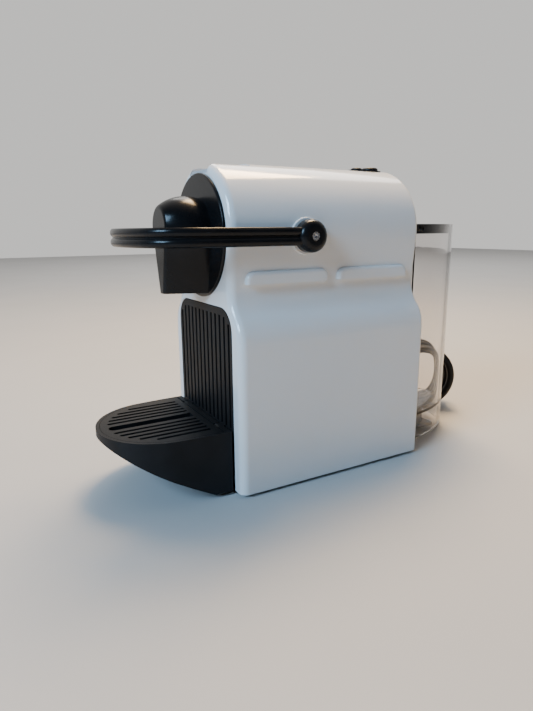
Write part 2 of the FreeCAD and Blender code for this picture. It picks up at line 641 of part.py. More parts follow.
def lever():
    # Two rounded ribs with a groove between them, swept round the front
    body = new_body("Loop")
    corner, bowed, half = "lever_corner", "lever_bow", "(lever_half - lever_width / 2)"
    apex = f"({FRONT} - lever_reach + lever_width / 2)"
    drop = f"(sqrt(({bowed} - {corner})^2 - ({half} - {corner})^2))"
    bend = f"({apex} + {bowed} - {drop})"
    join_x = f"(({half} - {corner}) * {bowed} / ({bowed} - {corner}))"
    join_y = f"({apex} + {bowed} - {drop} * {bowed} / ({bowed} - {corner}))"
    path = sketch_on(body, "XY_Plane", "pivot_height")
    run = [(half, PIVOT, LINE), (half, bend, arc(corner, "right")), (join_x, join_y, arc(bowed, "right")),
           (f"-({join_x})", join_y, arc(corner, "right")), (f"-({half})", bend, LINE),
           (f"-({half})", PIVOT, LINE)]
    draw(path, run, False)
    section = sketch_on(body, "XZ_Plane", PIVOT)
    inner, outer = "(lever_half - lever_width)", "lever_half"
    low, high = "(pivot_height - lever_height / 2)", "(pivot_height + lever_height / 2)"
    groove = f"({outer} - rib_rise)"
    rib = "(((lever_height / 2 - rib_gap)^2 / 4 + rib_rise^2) / (2 * rib_rise))"
    outline(section, [
        (f"{inner} + lever_round", low, LINE),
        (groove, low, arc(rib, "left")),
        (groove, "pivot_height - rib_gap", LINE),
        (groove, "pivot_height + rib_gap", arc(rib, "left")),
        (groove, high, LINE),
        (f"{inner} + lever_round", high, arc("lever_round", "left")),
        (inner, f"{high} - lever_round", LINE),
        (inner, f"{low} + lever_round", arc("lever_round", "left")),
    ])
    doc.recompute()
    sweep = body.newObject("PartDesign::AdditivePipe", "Sweep")
    sweep.Profile = section
    sweep.Spine = path
    hubs = []
    for sign, backwards in (("", False), ("-", True)):
        hub = new_body("Hub")
        disc = circle(sketch_on(hub, "YZ_Plane", f"{sign}hub_root"), "hub_radius", PIVOT, "pivot_height")
        pad(hub, disc, "hub_face - hub_root", backwards)
        round_edges(hub, "hub_round", lambda e, level=number(f"{sign}hub_face"): in_plane(e, "X", level))
        hubs.append(hub)
    bores = rod_sides("stub_radius", "bolt_tip", "stub_end", PIVOT, "pivot_height")
    shanks = rod_sides("bolt_radius", "stub_end", "bolt_seat", PIVOT, "pivot_height")
    recesses = rod_sides("bolt_head + gap", "bolt_seat", "hub_face", PIVOT, "pivot_height")
    node(cut("lever", fuse("Handle", body, *hubs), *bores, *shanks, *recesses), "lever")

    stubs = rod_sides("stub_radius", "cam_inner + cam_thick", "stub_end", PIVOT, "pivot_height")
    threads = rod_sides("bolt_radius", "bolt_tip", "stub_end", PIVOT, "pivot_height")
    node(group("lever_shafts", *[cut("Stub", s, t) for s, t in zip(stubs, threads)]), "lever_shafts")
    shafts = rod_sides("bolt_radius", "bolt_tip", "bolt_seat", PIVOT, "pivot_height")
    heads = rod_sides("bolt_head", "bolt_seat", "bolt_end", PIVOT, "pivot_height")
    keys = rod_sides("bolt_head / 2", "key_floor", "bolt_end", PIVOT, "pivot_height")
    screws = [cut("Screw", fuse("Solid", s, h), k) for s, h, k in zip(shafts, heads, keys)]
    node(group("lever_screws", *screws), "lever_screws")
    bush = ("boss_face - boss_depth - gap", "boss_face - bush_sink", PIVOT, "pivot_height")
    outer_ring = rod_sides("bush_radius", *bush)
    holes = rod_sides("stub_radius + running", *bush)
    node(group("pivot_bushes", *[cut("Bush", o, h) for o, h in zip(outer_ring, holes)]), "pivot_bushes")
    cams = doc.addObject("Part::Feature", "lever_cams")
    cams.Shape = Part.makeCompound([cam_shape(1), cam_shape(-1)])
    node(cams, "lever_cams")


def buttons():
    top = f"({HEAD} + bezel_proud)"
    body = new_body("Bezel")
    pad(body, outline(sketch_on(body, "XY_Plane", "bezel_level"), bezel_outline("0")), "bezel_sink")
    dome = rod("y", top, behind("bezel_front"), behind("bezel_rear"), "0", HEAD_Z)
    bezel = common("Curved", body, dome)
    board_top = "(board_level + board_thick)"
    legs = [box("-leg_half", "leg_half", behind(start), behind(f"{start} + leg_thick"), board_top,
                "bezel_level + leg_thick") for start in ("bezel_front", "bezel_rear - leg_thick")]
    presses = [("small_cup_button", "button_small", "button_small_depth", "button_small_top"),
               ("large_cup_button", "button_large", "button_large_depth", "button_large_top")]
    holes = [rod("z", f"{r} + gap", "bezel_level", "bezel_level + bezel_sink", "0", behind(d))
             for _, r, d, _ in presses]
    node(cut("button_bezel", fuse("Frame", bezel, *legs), *holes), "button_bezel")
    for name, radius, depth, high in presses:
        cap = new_body("Cap")
        face = circle(sketch_on(cap, "XY_Plane", "flange_low"), radius, "0", behind(depth))
        pad(cap, face, f"{high} - flange_low")
        round_edges(cap, "button_round", lambda e, level=number(high): in_plane(e, "Z", level))
        flange = rod("z", f"{radius} + flange_rim", "flange_low", "flange_high", "0", behind(depth))
        stem = rod("z", "plunger_radius", "plunger_low", "flange_low", "0", behind(depth))
        node(fuse(name, cap, flange, stem), name)
    board = box("-bezel_half", "bezel_half", behind("bezel_front"), behind("bezel_rear"), "board_level",
                board_top)
    node(board, "switch_board")
    keys = [box("-switch_half", "switch_half", behind(f"{d} - switch_half"), behind(f"{d} + switch_half"),
                board_top, "switch_top") for _, _, d, _ in presses]
    node(group("button_switches", *keys), "button_switches")


def front_module():
    body = new_body("Panel")
    back = behind("panel_thick - panel_proud")
    face = f"({FRONT} - panel_proud)"
    pad(body, outline(sketch_on(body, "XZ_Plane", back), panel_outline("0", "panel_foot")), "panel_thick")
    grooves = sketch_on(body, "XZ_Plane", face)
    for index in range(-6, 7):
        x = f"({index} * panel_rib)"
        past = f"max(abs({x}) - panel_half + panel_corner, 0)"
        high = f"panel_top - panel_corner + sqrt(panel_corner^2 - {past}^2) - panel_margin"
        rectangle(grooves, f"{x} - panel_slot / 2", f"{x} + panel_slot / 2", "tray_top", high)
    pocket(body, grooves, "panel_cut")
    axis_y, axis_z = f"({face} - hinge_reach)", "(tray_top - hinge_drop)"
    arms, eyes, holes = [], [], []
    for sign in ("", "-"):
        x0, x1 = f"{sign}lug_place - lug_half", f"{sign}lug_place + lug_half"
        arms.append(box(x0, x1, axis_y, face, f"{axis_z} - lug_radius", f"{axis_z} + lug_radius"))
        eyes.append(rod("x", "lug_radius", x0, x1, axis_y, axis_z))
        holes.append(rod("x", "hinge_pin + running", x0, x1, axis_y, axis_z))
    node(cut("cup_panel", fuse("Front", body, *arms, *eyes), *holes), "cup_panel")

    outer = box("-bin_half", "bin_half", back, behind("bin_rear"), "bin_bottom", "bin_top")
    hollow = box("-bin_half + bin_wall", "bin_half - bin_wall", f"{back} + bin_wall",
                 behind("bin_rear - bin_wall"), "bin_bottom + bin_wall", "bin_top")
    node(cut("capsule_container", outer, hollow), "capsule_container")


def hull(name, inset, high):
    """Side view of the tray, drawn out across its width: flat heel, then a bowed keel up to the nose."""
    body = new_body(name)
    start = f"({FRONT} - tray_gap)"
    heel = f"({start} - hull_flat)"
    nose = f"({FRONT} - tray_reach)"
    low = f"(tray_bottom + {inset})"
    lift = f"({low} + hull_lift)"
    pad(body, outline(sketch_on(body, "YZ_Plane", "-base_half"), [
        (start, low, LINE),
        (start, high, LINE),
        (nose, high, LINE),
        (nose, lift, arc("hull_bow", "left")),
        (heel, low, LINE),
    ]), "2 * base_half")
    return body


def tray_plan(name, inset, base_inset, low, high):
    body = new_body(name)
    base = f"({FRONT} - tray_gap - ({base_inset}))"
    reach = f"(tray_reach - tray_gap - ({base_inset}) - ({inset}))"
    plan = bow(f"tray_half - ({inset})", reach, f"tray_nose - ({inset})", base, "-")
    pad(body, outline(sketch_on(body, "XY_Plane", low), plan), f"({high}) - ({low})")
    return body


def tray():
    axis_y, axis_z = f"({FRONT} - panel_proud - hinge_reach)", "(tray_top - hinge_drop)"
    ledge = "(tray_top - grid_thick)"
    shell = common("Boat", tray_plan("Plan", "0", "0", "tray_bottom", "tray_top"),
                   hull("Keel", "0", "tray_top"))
    room = common("Room", tray_plan("RoomPlan", "tray_wall + tray_ledge", "tray_back", "tray_bottom", ledge),
                  hull("RoomKeel", "tray_wall", "tray_top"))
    seat = tray_plan("Seat", "tray_wall", "tray_back", ledge, "tray_top")
    tools = [room, seat]
    pins = []
    for sign in ("", "-"):
        x = f"{sign}lug_place"
        tools.append(box(f"{x} - lug_half - 2 * gap", f"{x} + lug_half + 2 * gap", f"{axis_y} - lug_room",
                         FRONT, f"{axis_z} - lug_room", "tray_top"))
        for make in (tools, pins):
            make.append(rod("x", "hinge_pin", f"{x} - hinge_half", f"{x} + hinge_half", axis_y, axis_z))
    node(cut("drip_tray", shell, *tools), "drip_tray")
    node(group("tray_pins", *pins), "tray_pins")

    body = tray_plan("drip_grid", "tray_wall + gap", "grid_back", ledge, "tray_top")
    half, nose = "(tray_half - grid_margin)", "(tray_nose - grid_margin)"
    reach = "(tray_reach - tray_gap - grid_back - grid_margin)"
    side = f"(({half}^2 + ({reach} - {nose})^2 - {nose}^2) / (2 * ({half} - {nose})))"
    base = f"({FRONT} - tray_gap - grid_back)"
    start = f"({base} - grid_back)"
    slots = sketch_on(body, "XY_Plane", "tray_top")
    join = number(f"{nose} * ({side} - {half}) / ({side} - {nose})")
    for index in range(-5, 6):
        x = f"({index} * grid_pitch + {(index > 0) - (index < 0)} * grid_shift)"
        width = "grid_middle" if index == 0 else "grid_slot"
        if abs(number(x)) < join:
            length = f"({reach} - {nose} + sqrt({nose}^2 - {x}^2))"
        else:
            length = f"sqrt({side}^2 - (abs({x}) + {side} - {half})^2)"
        left, right = f"{x} - {width} / 2", f"{x} + {width} / 2"
        tip = f"({base} - {length} + {width} / 2)"
        outline(slots, [(left, start, LINE), (left, tip, half_circle("left")),
                        (right, tip, LINE), (right, start, LINE)])
    pocket(body, slots, "grid_thick")
    node(body, "drip_grid")


def tank_plan(name, inset, low, high, base_inset=None):
    body = new_body(name)
    shift = inset if base_inset is None else base_inset
    base = f"({REAR} + tank_gap + ({shift}))"
    reach = f"(overall_depth / 2 - {base} - ({inset}))"
    plan = bow(f"tank_half - ({inset})", reach, f"tank_nose - ({inset})", base, "+")
    pad(body, outline(sketch_on(body, "XY_Plane", low), plan), f"({high}) - ({low})")
    return body


def tank():
    floor_top = "(tank_floor + tank_sole)"
    hinge = f"({REAR} + lid_pivot)"
    spot = f"({REAR} + valve_place)"
    wall = tank_plan("Wall", "0", "tank_bottom", "tank_top")
    water = tank_plan("Water", "tank_wall", floor_top, "tank_top + 1")
    skirt = tank_plan("Skirt", "tank_wall", "tank_bottom - 1", "tank_floor")
    doorway = box("-tank_notch", "tank_notch", f"{REAR} + tank_gap - 1", f"{REAR} + tank_gap + tank_wall + 1",
                  "tank_bottom - 1", "dock_top + 1")
    seat = rod("z", "valve_radius", "tank_floor", floor_top, "0", spot)
    pin_holes = rod_sides("hinge_pin + running", "tank_half / 2", "tank_half", hinge, "lid_axis")
    node(cut("water_tank", wall, water, skirt, doorway, seat, *pin_holes), "water_tank")

    shelf = f"({floor_top} + tank_sole)"
    stem = rod("z", "valve_radius", "tank_floor - 1", floor_top, "0", spot)
    flange = rod("z", "valve_flange", floor_top, shelf, "0", spot)
    strainer = rod("z", "valve_strainer", shelf, "valve_top", "0", spot)
    bore = rod("z", "valve_bore", "tank_floor - 1", "valve_room", "0", spot)
    node(cut("tank_valve", fuse("Valve", stem, flange, strainer), bore), "tank_valve")
    node(rod("z", "plunger_head", "plunger_seat", "plunger_top", "0", spot), "valve_plunger")

    base_inset, rim = "lid_pivot - tank_gap - lid_heel", "tank_wall + lid_play"
    cap = tank_plan("Cap", rim, "tank_top - lid_depth", "tank_top", base_inset)
    under = tank_plan("Under", f"{rim} + tank_wall", "tank_top - lid_depth", "tank_top - tank_wall",
                      f"{base_inset} + lid_boss")
    ends = "(tank_half - tank_wall - lid_boss)"
    pins = rod_sides("hinge_pin", ends, "tank_half - 2 * lid_play", hinge, "lid_axis")
    bores = rod_sides("hinge_pin", ends, "tank_half", hinge, "lid_axis")
    node(cut("tank_lid", cap, under, *bores), "tank_lid")
    node(group("lid_pins", *pins), "lid_pins")

    dock = new_body("Dock")
    plan = bow("dock_half", "dock_reach", "dock_nose", f"({REAR} + dock_start)", "+")
    pad(dock, outline(sketch_on(dock, "XY_Plane", FLOOR_TOP), plan), f"dock_top - {FLOOR_TOP}")
    nipple = rod("z", "dock_spout", "dock_top", "dock_tip", "0", spot)
    drain = rod("z", "dock_bore", "dock_sump", "dock_tip", "0", spot)
    node(cut("tank_dock", fuse("Block", dock, nipple), drain), "tank_dock")
    seal = doc.addObject("Part::Torus", "dock_seal")
    bind(seal, Radius1="ring_radius", Radius2="ring_thick")
    node(place(seal, "0", spot, "dock_top + ring_thick + running"), "dock_seal")


def swept(path_edges, radius):
    """Round tube along a path of lines and arcs; its volume has to match section times length."""
    wire = Part.Wire(path_edges)
    first = wire.Edges[0]
    start = first.valueAt(first.FirstParameter)
    heading = first.tangentAt(first.FirstParameter)
    ring = Part.Wire([Part.makeCircle(radius, start, heading)])
    solid = wire.makePipeShell([ring], True, False)
    expected = math.pi * radius * radius * wire.Length
    if abs(solid.Volume - expected) > 0.01 * expected:
        raise ValueError("a tube's volume is off")
    return solid, wire.Length


def rounded_route(points, ratio=0.45):
    """Straight runs joined by arcs as large as the runs allow."""
    edges = []
    radii = []
    here = points[0]
    for before, corner, after in zip(points, points[1:], points[2:]):
        into, out = corner - before, after - corner
        reach = ratio * min(into.Length, out.Length)
        turn = into.getAngle(out)
        radii.append(reach / math.tan(turn / 2))
        into.normalize()
        out.normalize()
        start, end = corner - into * reach, corner + out * reach
        inward = (out - into).normalize()
        depth = radii[-1] * (1 / math.cos(turn / 2) - 1)
        edges.append(Part.LineSegment(here, start).toShape())
        edges.append(Part.Arc(start, corner + inward * depth, end).toShape())
        here = end
    edges.append(Part.LineSegment(here, points[-1]).toShape())
    return edges, radii


def tube_node(name, edges, radius):
    item = doc.addObject("Part::Feature", name)
    item.Shape, length = swept(edges, radius)
    node(item, name)
    return length


def water_path():
    depth, axis = behind("pump_depth"), "pump_height"
    yoke = box("-yoke_half", "yoke_half", f"{depth} - yoke_deep", f"{depth} + yoke_deep",
               "pump_height - yoke_half", "pump_height + yoke_half")
    node(cut("pump_coil", yoke, rod("x", "pump_radius", "-yoke_half", "yoke_half", depth, axis)), "pump_coil")
    barrel = rod("x", "pump_radius", "-pump_half", "pump_half", depth, axis)
    node(fuse("pump", barrel, rod("z", "outlet_radius", axis, "outlet_top", "outlet_place", depth)), "pump")
    mounts = box_sides("mount_inner", "mount_outer", f"{depth} - mount_half", f"{depth} + mount_half",
                       FLOOR_TOP, "pump_height - yoke_half")
    node(group("pump_mounts", *mounts), "pump_mounts")
    meter_x, meter_y = "(-(meter_outer + meter_inner) / 2)", behind("(meter_front + meter_rear) / 2")
    meter = fuse("flow_meter",
                 box("-meter_outer", "-meter_inner", behind("meter_front"), behind("meter_rear"), FLOOR_TOP,
                     "meter_top"),
                 rod("z", "meter_radius", "meter_top", "meter_top + meter_cap", meter_x, meter_y))
    node(meter, "flow_meter")
    block = box("-heater_half", "heater_half", behind("heater_front"), behind("heater_rear"),
                "deck_level + deck_thick", "heater_top")
    node(block, "thermoblock")
    caps = [rod("z", "sensor_radius", "heater_top", "heater_top + sensor_height", x,
                behind("(heater_front + heater_rear) / 2")) for x in ("sensor_place", "-sensor_place")]
    node(group("thermostats", *caps), "thermostats")

    x, z, radius = number("-hose_place"), number("hose_height"), number("hose_radius")
    start = Vector(x, number(behind("meter_rear")), z)
    end = Vector(x, number(f"{REAR} + dock_start"), z)
    tube_node("suction_hose", [Part.LineSegment(start, end).toShape()], radius)
    x, y, high = number("outlet_place"), number(depth), number("heater_inlet")
    bend = [Vector(x, y, number("outlet_top")), Vector(x, y, high), Vector(number("heater_half"), y, high)]
    tube_node("pressure_hose", rounded_route(bend, 0.8)[0], radius)


def electrics():
    """Control board on edge with its relay, transformer and capacitor."""
    face = "(-card_place + board_thick)"
    board = box("-card_place", face, behind("card_front"), behind("card_rear"), "card_low", "card_high")
    node(board, "control_board")
    # Each block: height off the board, then place and size along it and up it
    blocks = [(11.4, 7, 16, 6, 16), (8.4, 29, 16, 6, 10), (7.4, 11, 10, 28, 12)]
    parts = []
    for rise, back, deep, up, tall in blocks:
        start, end = behind(f"card_front + {back}"), behind(f"card_front + {back + deep}")
        parts.append(box(face, f"{face} + {rise}", start, end, f"card_low + {up}", f"card_low + {up + tall}"))
    node(group("board_parts", *parts), "board_parts")


# Mains lead: out of the rear cover on the far side, then loose upright loops behind the tank
def biarc(start, start_heading, end, end_heading):
    """Two tangent arcs between two points with given headings."""
    span = end - start
    both = start_heading + end_heading
    curve = 2 * (1 - start_heading.dot(end_heading))
    along_both = span.dot(both)
    if curve < 1e-6:
        reach = span.Length / 2
    else:
        reach = (-along_both + math.sqrt(along_both ** 2 + curve * span.dot(span))) / curve
    middle = (start + start_heading * reach + end - end_heading * reach) / 2
    edges = []
    for first, heading, last in ((start, start_heading, middle), (end, end_heading * -1, middle)):
        chord = last - first
        lean = heading.getAngle(chord)
        side = (heading - chord * (heading.dot(chord) / chord.dot(chord))).normalize()
        sag = chord.Length / 2 * math.tan(lean / 2)
        edges.append(Part.Arc(first, first + chord / 2 + side * sag, last).toShape())
    return edges


def flat_heading(degrees):
    return Vector(math.cos(math.radians(degrees)), math.sin(math.radians(degrees)), 0)


def coil_stations(start, along_coil):
    """Points and headings of the upright loops at each quarter turn, and a last one on the way down."""
    up = Vector(0, 0, 1)
    away = up.cross(along_coil)
    loop, pitch, lean = number("coil_loop"), number("coil_pitch"), number("coil_lean")
    loops = [loop, loop - 1.5, loop - 0.4, loop + 0.4]
    quarters = 14
    stations = []
    for quarter in list(range(quarters + 1)) + [quarters + number("coil_tail") / 90]:
        phase = math.pi / 2 * quarter
        radius = loops[int(quarter + 1) // 4]
        height = radius * (1 - math.cos(phase))
        spot = start + along_coil * (radius * math.sin(phase)) + up * height
        spot += away * (pitch * quarter / 4 - lean * height)
        stations.append((spot, along_coil * math.cos(phase) + up * math.sin(phase)))
    return stations


def cord():
    radius = number("cord_radius")
    low = radius + number("lead_lift")
    step = number("lead_step")
    along_coil = flat_heading(number("coil_heading"))
    first = Vector(number("cord_exit"), number(f"{REAR} + relief_length"), number("cord_height"))
    bend = first + Vector(0, number("lead_out"), 0)
    slope = bend + flat_heading(number("lead_turn")) * step - Vector(0, 0, number("lead_dip"))
    middle = slope + along_coil * step - Vector(0, 0, number("lead_fall"))
    ground = middle + along_coil * step
    ground.z = low
    end = ground + along_coil * number("lead_run")
    edges, radii = rounded_route([first, bend, slope, middle, ground, end])
    print("lead radii, mm:", [round(value, 1) for value in radii])
    run_length = tube_node("power_cord", edges, radius)

    straight = 2 * radius
    stations = coil_stations(end + along_coil * straight, along_coil)
    plug_heading = flat_heading(number("plug_heading"))
    plug_rest = Vector(number("plug_place"), number(f"{REAR} + plug_rest"), number("plug_radius"))
    stations.append((plug_rest, plug_heading))
    finish = plug_rest + plug_heading * straight
    loops = [Part.LineSegment(end, stations[0][0]).toShape()]
    for here, after in zip(stations, stations[1:]):
        loops += biarc(*here, *after)
    loops.append(Part.LineSegment(plug_rest, finish).toShape())
    coil_length = tube_node("cord_coil", loops, radius)
    print("lead length, mm:", round(run_length + coil_length + number("relief_length")))
    print("least gap of the coil to itself, mm:", round(least_gap(Part.Wire(loops), radius), 2))

    inner, outer = f"({REAR} - cover_inset)", f"({REAR} + relief_length)"
    sleeve = cone("y", "relief_radius", "cord_radius + relief_wall", inner, outer, "cord_exit", "cord_height")
    collar = rod("y", "relief_flange", f"{inner} - relief_root", inner, "cord_exit", "cord_height")
    node(fuse("strain_relief", sleeve, collar), "strain_relief")
    plug(finish, number("plug_heading"))


def least_gap(wire, radius):
    """Least distance between stretches of the tube more than two diameters apart along it."""
    points = wire.discretize(Number=400)
    step = wire.Length / 399
    skip = int(6 * radius / step) + 1
    gaps = [(a - b).Length for i, a in enumerate(points) for b in points[i + skip:]]
    return min(gaps) - 2 * radius


def plug(start, heading):
    """Round earthed plug with its neck, lying on its side, and its two pins."""
    radius = number("plug_radius")
    turn = FreeCAD.Placement(start, FreeCAD.Rotation(Vector(0, 0, 1), heading))
    forward = Vector(1, 0, 0)
    waist, neck_length, swell_length = number("plug_waist"), number("plug_neck"), number("plug_swell")
    neck = Part.makeCone(number("plug_entry"), waist, neck_length, Vector(), forward)
    swell = Part.makeCone(waist, radius, swell_length, forward * neck_length, forward)
    shoulder = neck_length + swell_length
    face = Part.makeCylinder(radius, number("plug_body"), forward * shoulder, forward)
    holder = neck.fuse([swell, face]).removeSplitter()
    item = doc.addObject("Part::Feature", "plug")
    item.Shape = holder
    item.Placement = turn
    node(item, "plug")
    length, front = number("prong_length"), shoulder + number("plug_body")
    pins = [Part.makeCylinder(number("prong_radius"), length, Vector(front, side * length / 2, 0), forward)
            for side in (1, -1)]
    prongs = doc.addObject("Part::Feature", "plug_pins")
    prongs.Shape = Part.makeCompound(pins)
    prongs.Placement = turn
    node(prongs, "plug_pins")


def main():
    casing()
    rear_cover()
    base()
    chassis()
    brew_head()
    carriage()
    lever()
    buttons()
    front_module()
    tray()
    tank()
    water_path()
    electrics()
    cord()
    doc.recompute()
    failed = [item.Label for item in doc.Objects if "Invalid" in item.State or "Error" in item.State]
    failed += [item.Label for item in nodes if item.Shape.isNull() or not item.Shape.isValid()]
    if failed:
        raise ValueError(f"failed: {failed}")
    os.makedirs("parts", exist_ok=True)
    for item in nodes:
        item.Shape.exportStep(f"parts/{item.Label}.step")
    print(len(nodes), "nodes")


main()
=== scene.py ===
import json
import math
import bpy
from mathutils import Matrix, Vector


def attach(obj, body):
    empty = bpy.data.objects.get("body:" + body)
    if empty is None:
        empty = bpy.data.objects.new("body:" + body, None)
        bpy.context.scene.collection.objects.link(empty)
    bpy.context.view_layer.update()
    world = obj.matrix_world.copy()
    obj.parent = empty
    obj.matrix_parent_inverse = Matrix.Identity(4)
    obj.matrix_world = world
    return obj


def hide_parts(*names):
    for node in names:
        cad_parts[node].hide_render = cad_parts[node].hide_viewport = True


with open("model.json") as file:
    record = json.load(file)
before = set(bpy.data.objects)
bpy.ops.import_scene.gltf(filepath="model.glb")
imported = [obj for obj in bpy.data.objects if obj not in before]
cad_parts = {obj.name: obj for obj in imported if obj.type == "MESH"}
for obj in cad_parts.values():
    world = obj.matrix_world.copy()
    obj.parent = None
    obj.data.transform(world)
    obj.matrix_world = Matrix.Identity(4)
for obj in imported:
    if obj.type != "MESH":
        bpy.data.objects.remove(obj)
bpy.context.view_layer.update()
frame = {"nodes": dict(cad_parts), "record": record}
mm = 0.001
up = Vector((0, 0, 1))
mixSockets = {"factor": 0, "low": 6, "high": 7, "colour": 2}  # a Mix node's places for colours


def flatHeading(degrees):
    turn = math.radians(degrees)
    return Vector((math.cos(turn), math.sin(turn), 0))


# camera
shot = {
    "place": (0.36012, -0.22993, 0.18098),
    "azimuth": 60.475,
    "elevation": 13.14,
    "roll": -0.461,
    "lens": 27.126,
    "longSide": 36,  # mm of sensor
    "nearest": 0.01,
}
lookFlat = -flatHeading(shot["azimuth"] - 90)
tilt = math.radians(shot["elevation"])
look = lookFlat * math.cos(tilt) - up * math.sin(tilt)
across = look.cross(up).normalized()
upright = across.cross(look)
roll = math.radians(shot["roll"])
camX = across * math.cos(roll) + upright * math.sin(roll)
camY = upright * math.cos(roll) - across * math.sin(roll)
camTurn = Matrix((camX, camY, -look)).transposed().to_4x4()
cameraData = bpy.data.cameras.new("photoCamera")
cameraData.lens = shot["lens"]
cameraData.sensor_fit = "AUTO"
cameraData.sensor_width = shot["longSide"]
cameraData.clip_start = shot["nearest"]
cameraObj = bpy.data.objects.new("photoCamera", cameraData)
bpy.context.scene.collection.objects.link(cameraObj)
cameraObj.matrix_world = Matrix.Translation(shot["place"]) @ camTurn
bpy.context.scene.camera = cameraObj
print("camera set")


# mains lead: out of the gland, down to the worktop, upright loops behind the tank, plug on the far side
lead = {
    "diameter": 7 * mm,
    "length": 0.81,
    "loopRadii": (30, 28.5, 29.6, 30.4),  # mm from here on
    "pitch": 9,
    "lean": 0.08,
    "heading": 60,
    "turns": 3.69,
    "pointsPerTurn": 16,
    "runIn": 7,
    "overTheTop": (-69, 153.7, 27),
    "plugHeading": 249.5,
    "plugRest": (-80, 127.7, 17),
    "plugRunIn": 9,
    "plugSag": 2,
    "plugDepth": 7,
}
route = [
    (-49.5, 109.2, 13), (-49.5, 121.2, 13), (-46.3, 133.2, 11.3),
    (-40.1, 143.9, 7.5), (-33.9, 154.7, 3.6), (-27.9, 165.1, 3.6),
]
coilWay = flatHeading(lead["heading"])
coilAway = up.cross(coilWay)
coilStart = Vector(route[-1]) + coilWay * lead["runIn"]
step = 2 * math.pi / lead["pointsPerTurn"]
hullFactor = 1 / math.cos(step / 2)  # the spline runs inside its control points
lastLoop = len(lead["loopRadii"]) - 1
points = [Vector(p) for p in route]
for index in range(int(lead["turns"] * lead["pointsPerTurn"]) + 1):
    phase = index * step
    turn = min(index / lead["pointsPerTurn"], lastLoop)
    loop = int(turn)
    part = turn - loop
    nextLoop = min(loop + 1, lastLoop)
    loopRadius = lead["loopRadii"][loop] * (1 - part) + lead["loopRadii"][nextLoop] * part
    height = loopRadius * (1 - math.cos(phase) * hullFactor)
    side = loopRadius * math.sin(phase) * hullFactor
    away = lead["pitch"] * phase / (2 * math.pi) - lead["lean"] * height
    points.append(coilStart + coilWay * side + up * max(height, 0) + coilAway * away)
plugWay = flatHeading(lead["plugHeading"])
plugRest = Vector(lead["plugRest"])
points += [
    Vector(lead["overTheTop"]),
    plugRest - plugWay * lead["plugRunIn"] + up * lead["plugSag"],
    plugRest,
    plugRest + plugWay * lead["plugDepth"],
]
leadCurve = bpy.data.curves.new("lead", "CURVE")
leadCurve.dimensions = "3D"
leadCurve.bevel_depth = 1  # the points carry the thickness
leadCurve.bevel_resolution = 5
leadCurve.resolution_u = 6
leadCurve.use_fill_caps = True
spline = leadCurve.splines.new("NURBS")
spline.points.add(len(points) - 1)
for knot, spot in zip(spline.points, points):
    knot.co = (*(spot * mm), 1)
    knot.radius = lead["diameter"] / 2
spline.order_u = 3
spline.use_endpoint_u = True
leadPiece = bpy.data.objects.new("lead", leadCurve)
bpy.context.scene.collection.objects.link(leadPiece)
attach(leadPiece, "housing")
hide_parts("power_cord", "cord_coil")
print("lead:", len(points), "control points")


# shader helpers
class Wire:  # an output socket that takes arithmetic
    def __init__(self, mat, socket):
        self.mat = mat
        self.socket = socket

    def maths(self, operation, *others):
        return self.mat.node("ShaderNodeMath", {"operation": operation}, dict(enumerate((self, *others))))

    def __add__(self, other):
        return self.maths("ADD", other)

    __radd__ = __add__

    def __sub__(self, other):
        return self.maths("SUBTRACT", other)

    def __rsub__(self, other):
        return (self * -1) + other

    def __mul__(self, other):
        return self.maths("MULTIPLY", other)

    def clamped(self):
        return self.maths("MAXIMUM", 0).maths("MINIMUM", 1)


class Mat:  # a material with one Principled shader
    def __init__(self, name, **constants):
        self.material = bpy.data.materials.new(name)
        self.material.use_nodes = True
        self.tree = self.material.node_tree
        self.shader = self.tree.nodes["Principled BSDF"]
        for socket, value in constants.items():
            self.shader.inputs[socket.replace("_", " ")].default_value = value
        self.place = self.node("ShaderNodeTexCoord", {}, {}, "Object")

    def node(self, kind, settings, sockets, output=0):
        made = self.tree.nodes.new(kind)
        for name, value in settings.items():
            setattr(made, name, value)
        for name, value in sockets.items():
            if isinstance(value, Wire):
                self.tree.links.new(value.socket, made.inputs[name])
            else:
                made.inputs[name].default_value = value
        return Wire(self, made.outputs[output])

    def feed(self, **inputs):
        for socket, wire in inputs.items():
            self.tree.links.new(wire.socket, self.shader.inputs[socket.replace("_", " ")])

    def noise(self, scale, detail=3.0, stretch=(1, 1, 1)):
        spot = self.node("ShaderNodeMapping", {}, {"Vector": self.place, "Scale": stretch})
        return self.node("ShaderNodeTexNoise", {}, {"Vector": spot, "Scale": scale, "Detail": detail})

    def cellEdge(self, scale):
        return self.node("ShaderNodeTexVoronoi", {"feature": "DISTANCE_TO_EDGE"},
                         {"Vector": self.place, "Scale": scale}, "Distance")

    def ramp(self, factor, low, high):
        colours = {mixSockets["factor"]: factor, mixSockets["low"]: (*low, 1), mixSockets["high"]: (*high, 1)}
        return self.node("ShaderNodeMix", {"data_type": "RGBA"}, colours, mixSockets["colour"])

    def bump(self, height, strength, distance):
        return self.node("ShaderNodeBump", {}, {"Height": height, "Strength": strength, "Distance": distance})


